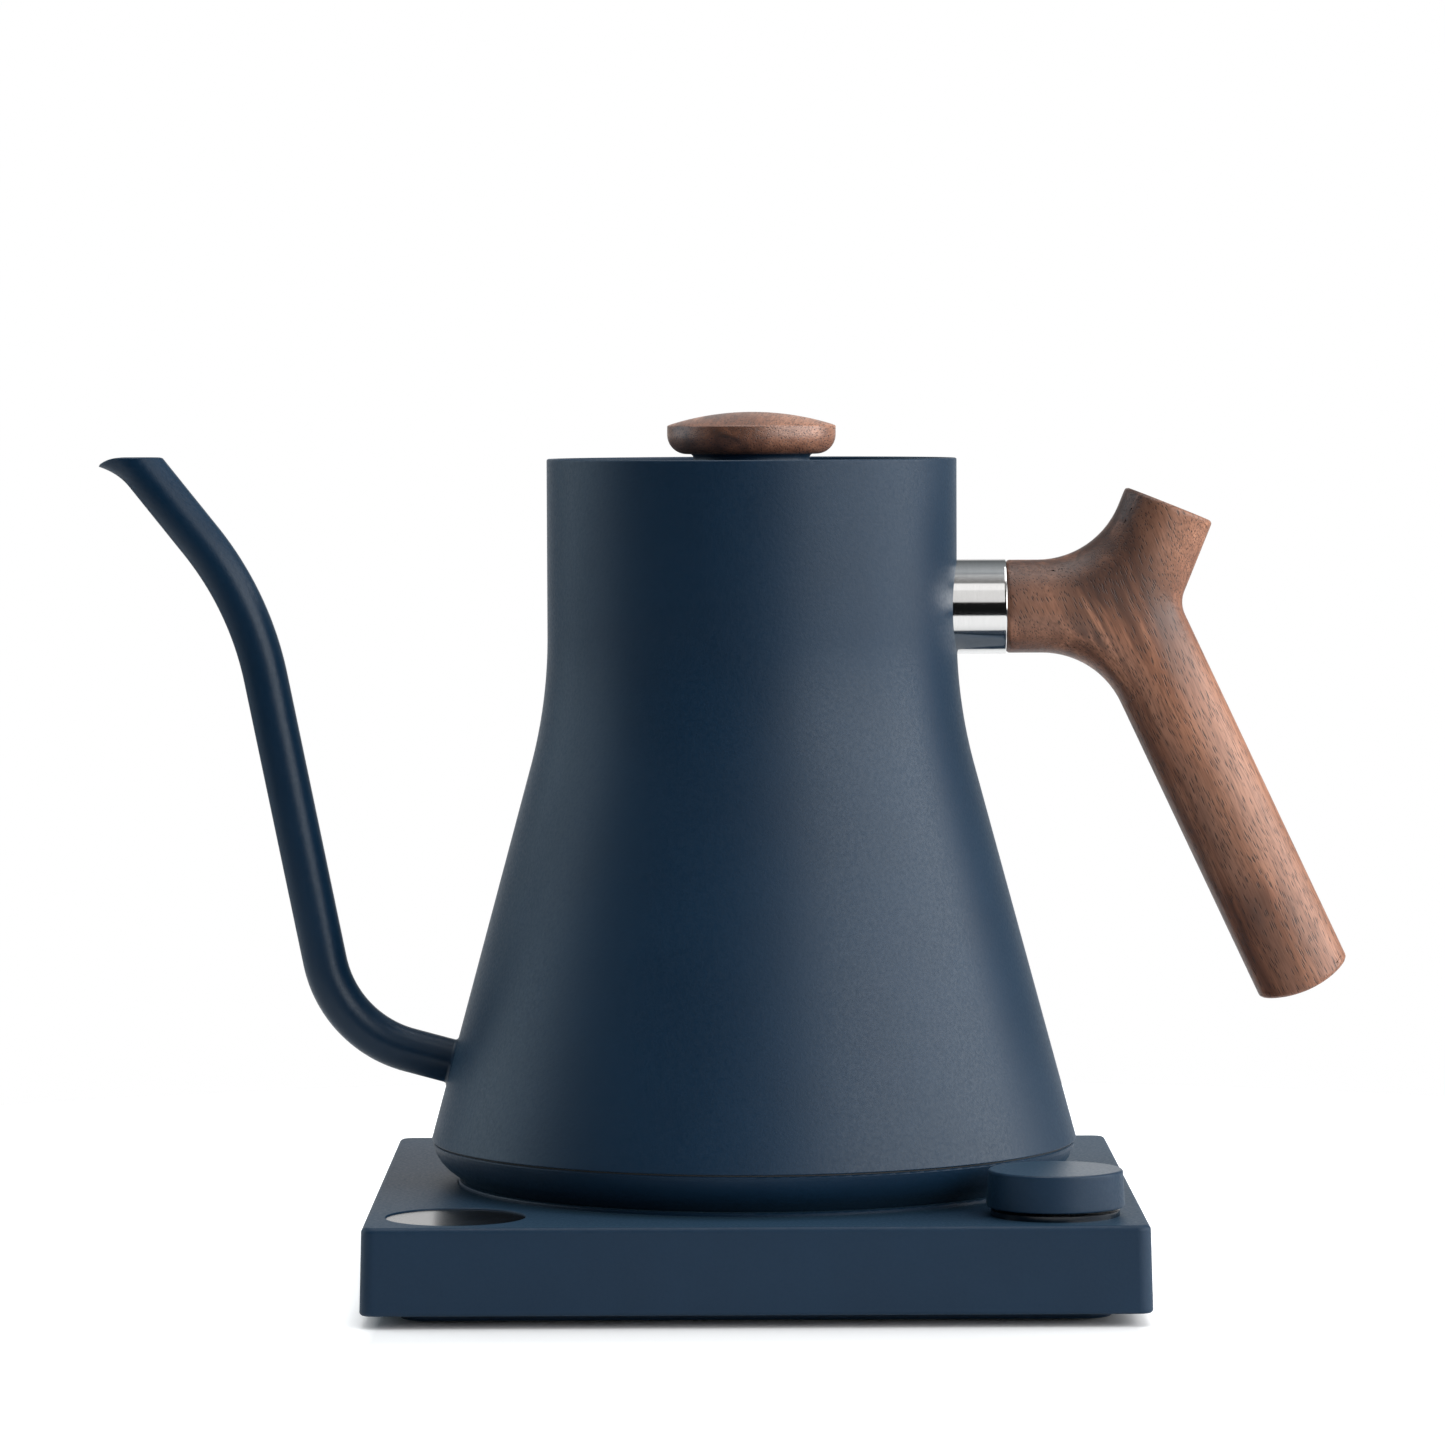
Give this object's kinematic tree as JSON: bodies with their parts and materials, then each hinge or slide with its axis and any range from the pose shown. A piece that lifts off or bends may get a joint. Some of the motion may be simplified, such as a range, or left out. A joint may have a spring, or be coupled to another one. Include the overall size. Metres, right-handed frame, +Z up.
{
  "type": "electric pouring kettle",
  "caption": "Electric gooseneck kettle with a wooden forked handle and lid knob, lifting off a square heating base with a turning push knob and a round display.",
  "frame": {"origin": "middle of the base's footprint, on the surface it stands on", "axes": "+Z up, -X towards the spout, +X towards the handle, -Y towards the controls"},
  "size_m": [0.288, 0.1748, 0.2001],
  "materials": {
    "navy_coat": "fine satin powder coat on steel",
    "navy_plastic": "fine satin coat on moulded plastic",
    "walnut": "oiled walnut with open pores",
    "polished_steel": "polished steel",
    "plain_steel": "plain brushed steel",
    "spreader_aluminium": "plain rolled aluminium",
    "contact_brass": "turned brass",
    "black_plastic": "moulded, fine matte",
    "winding": "varnished copper winding",
    "capacitor_sleeve": "shrunk plastic sleeve",
    "ribbon_grey": "soft plastic ribbon",
    "circuit_board": "varnished board",
    "display_glass": "polished dark window",
    "gloss_ring": "polished dark plastic",
    "soft_rubber": "soft matte silicone"
  },
  "bodies": {
    "base": {"base_shell": "navy_plastic", "base_plate": "navy_plastic", "rubber_feet": "soft_rubber", "base_screws": "plain_steel", "dock_plate": "navy_plastic", "base_socket": "black_plastic", "socket_contacts": "contact_brass", "socket_screws": "plain_steel", "control_board": "circuit_board", "power_board": "circuit_board", "board_screws": "plain_steel", "ribbon_cable": "ribbon_grey", "power_relay": "black_plastic", "supply_transformer": "winding", "filter_capacitor": "capacitor_sleeve", "terminal_block": "black_plastic", "display_lens": "display_glass", "display_module": "black_plastic", "knob_ring": "gloss_ring", "encoder_body": "black_plastic", "encoder_nut": "plain_steel", "cord_gland": "black_plastic", "hold_switch": "black_plastic", "unit_switch": "black_plastic"},
    "knob_plunger": {"push_plunger": "black_plastic"},
    "knob": {"control_knob": "navy_plastic", "encoder_shaft": "plain_steel"},
    "hold_slider": {"hold_slider": "black_plastic"},
    "unit_button": {"unit_button": "black_plastic"},
    "kettle": {"kettle_body": "navy_coat", "spout": "navy_coat", "handle_ferrule": "polished_steel", "handle_stud": "plain_steel", "handle_insert": "contact_brass", "handle": "walnut", "base_cup": "navy_plastic", "cup_seal": "soft_rubber", "cup_studs": "plain_steel", "cup_screws": "plain_steel", "heater_plate": "plain_steel", "spreader_plate": "spreader_aluminium", "heating_element": "plain_steel", "thermal_cutouts": "plain_steel", "temp_probe": "plain_steel", "probe_seal": "soft_rubber", "kettle_plug": "black_plastic", "plug_contacts": "contact_brass", "plug_screws": "plain_steel", "lid_collar": "plain_steel"},
    "lid": {"lid_plate": "navy_coat", "lid_seal": "soft_rubber", "lid_pedestal": "navy_coat", "lid_knob": "walnut", "lid_insert": "contact_brass", "lid_screw": "plain_steel"}
  },
  "joints": [
    {"name": "kettle_lift", "type": "slide", "parent": "base", "child": "kettle", "axis": [0, 0, 1], "range_m": [0, 0.15]},
    {"name": "lid_lift", "type": "slide", "parent": "kettle", "child": "lid", "axis": [0, 0, 1], "range_m": [0, 0.09]},
    {"name": "knob_press", "type": "slide", "parent": "base", "child": "knob_plunger", "axis": [0, 0, -1], "range_m": [0, 0.0006], "stiffness_N_per_m": 500, "springref_m": -0.002},
    {"name": "knob_turn", "type": "hinge", "parent": "knob_plunger", "child": "knob", "pos_m": [0.0665, -0.0665, 0.0282], "axis": [0, 0, 1], "continuous": true},
    {"name": "hold_slide", "type": "slide", "parent": "base", "child": "hold_slider", "axis": [1, 0, 0], "range_m": [0, 0.004]},
    {"name": "unit_press", "type": "slide", "parent": "base", "child": "unit_button", "axis": [0, -1, 0], "range_m": [0, 0.0005], "stiffness_N_per_m": 800, "springref_m": -0.001}
  ]
}
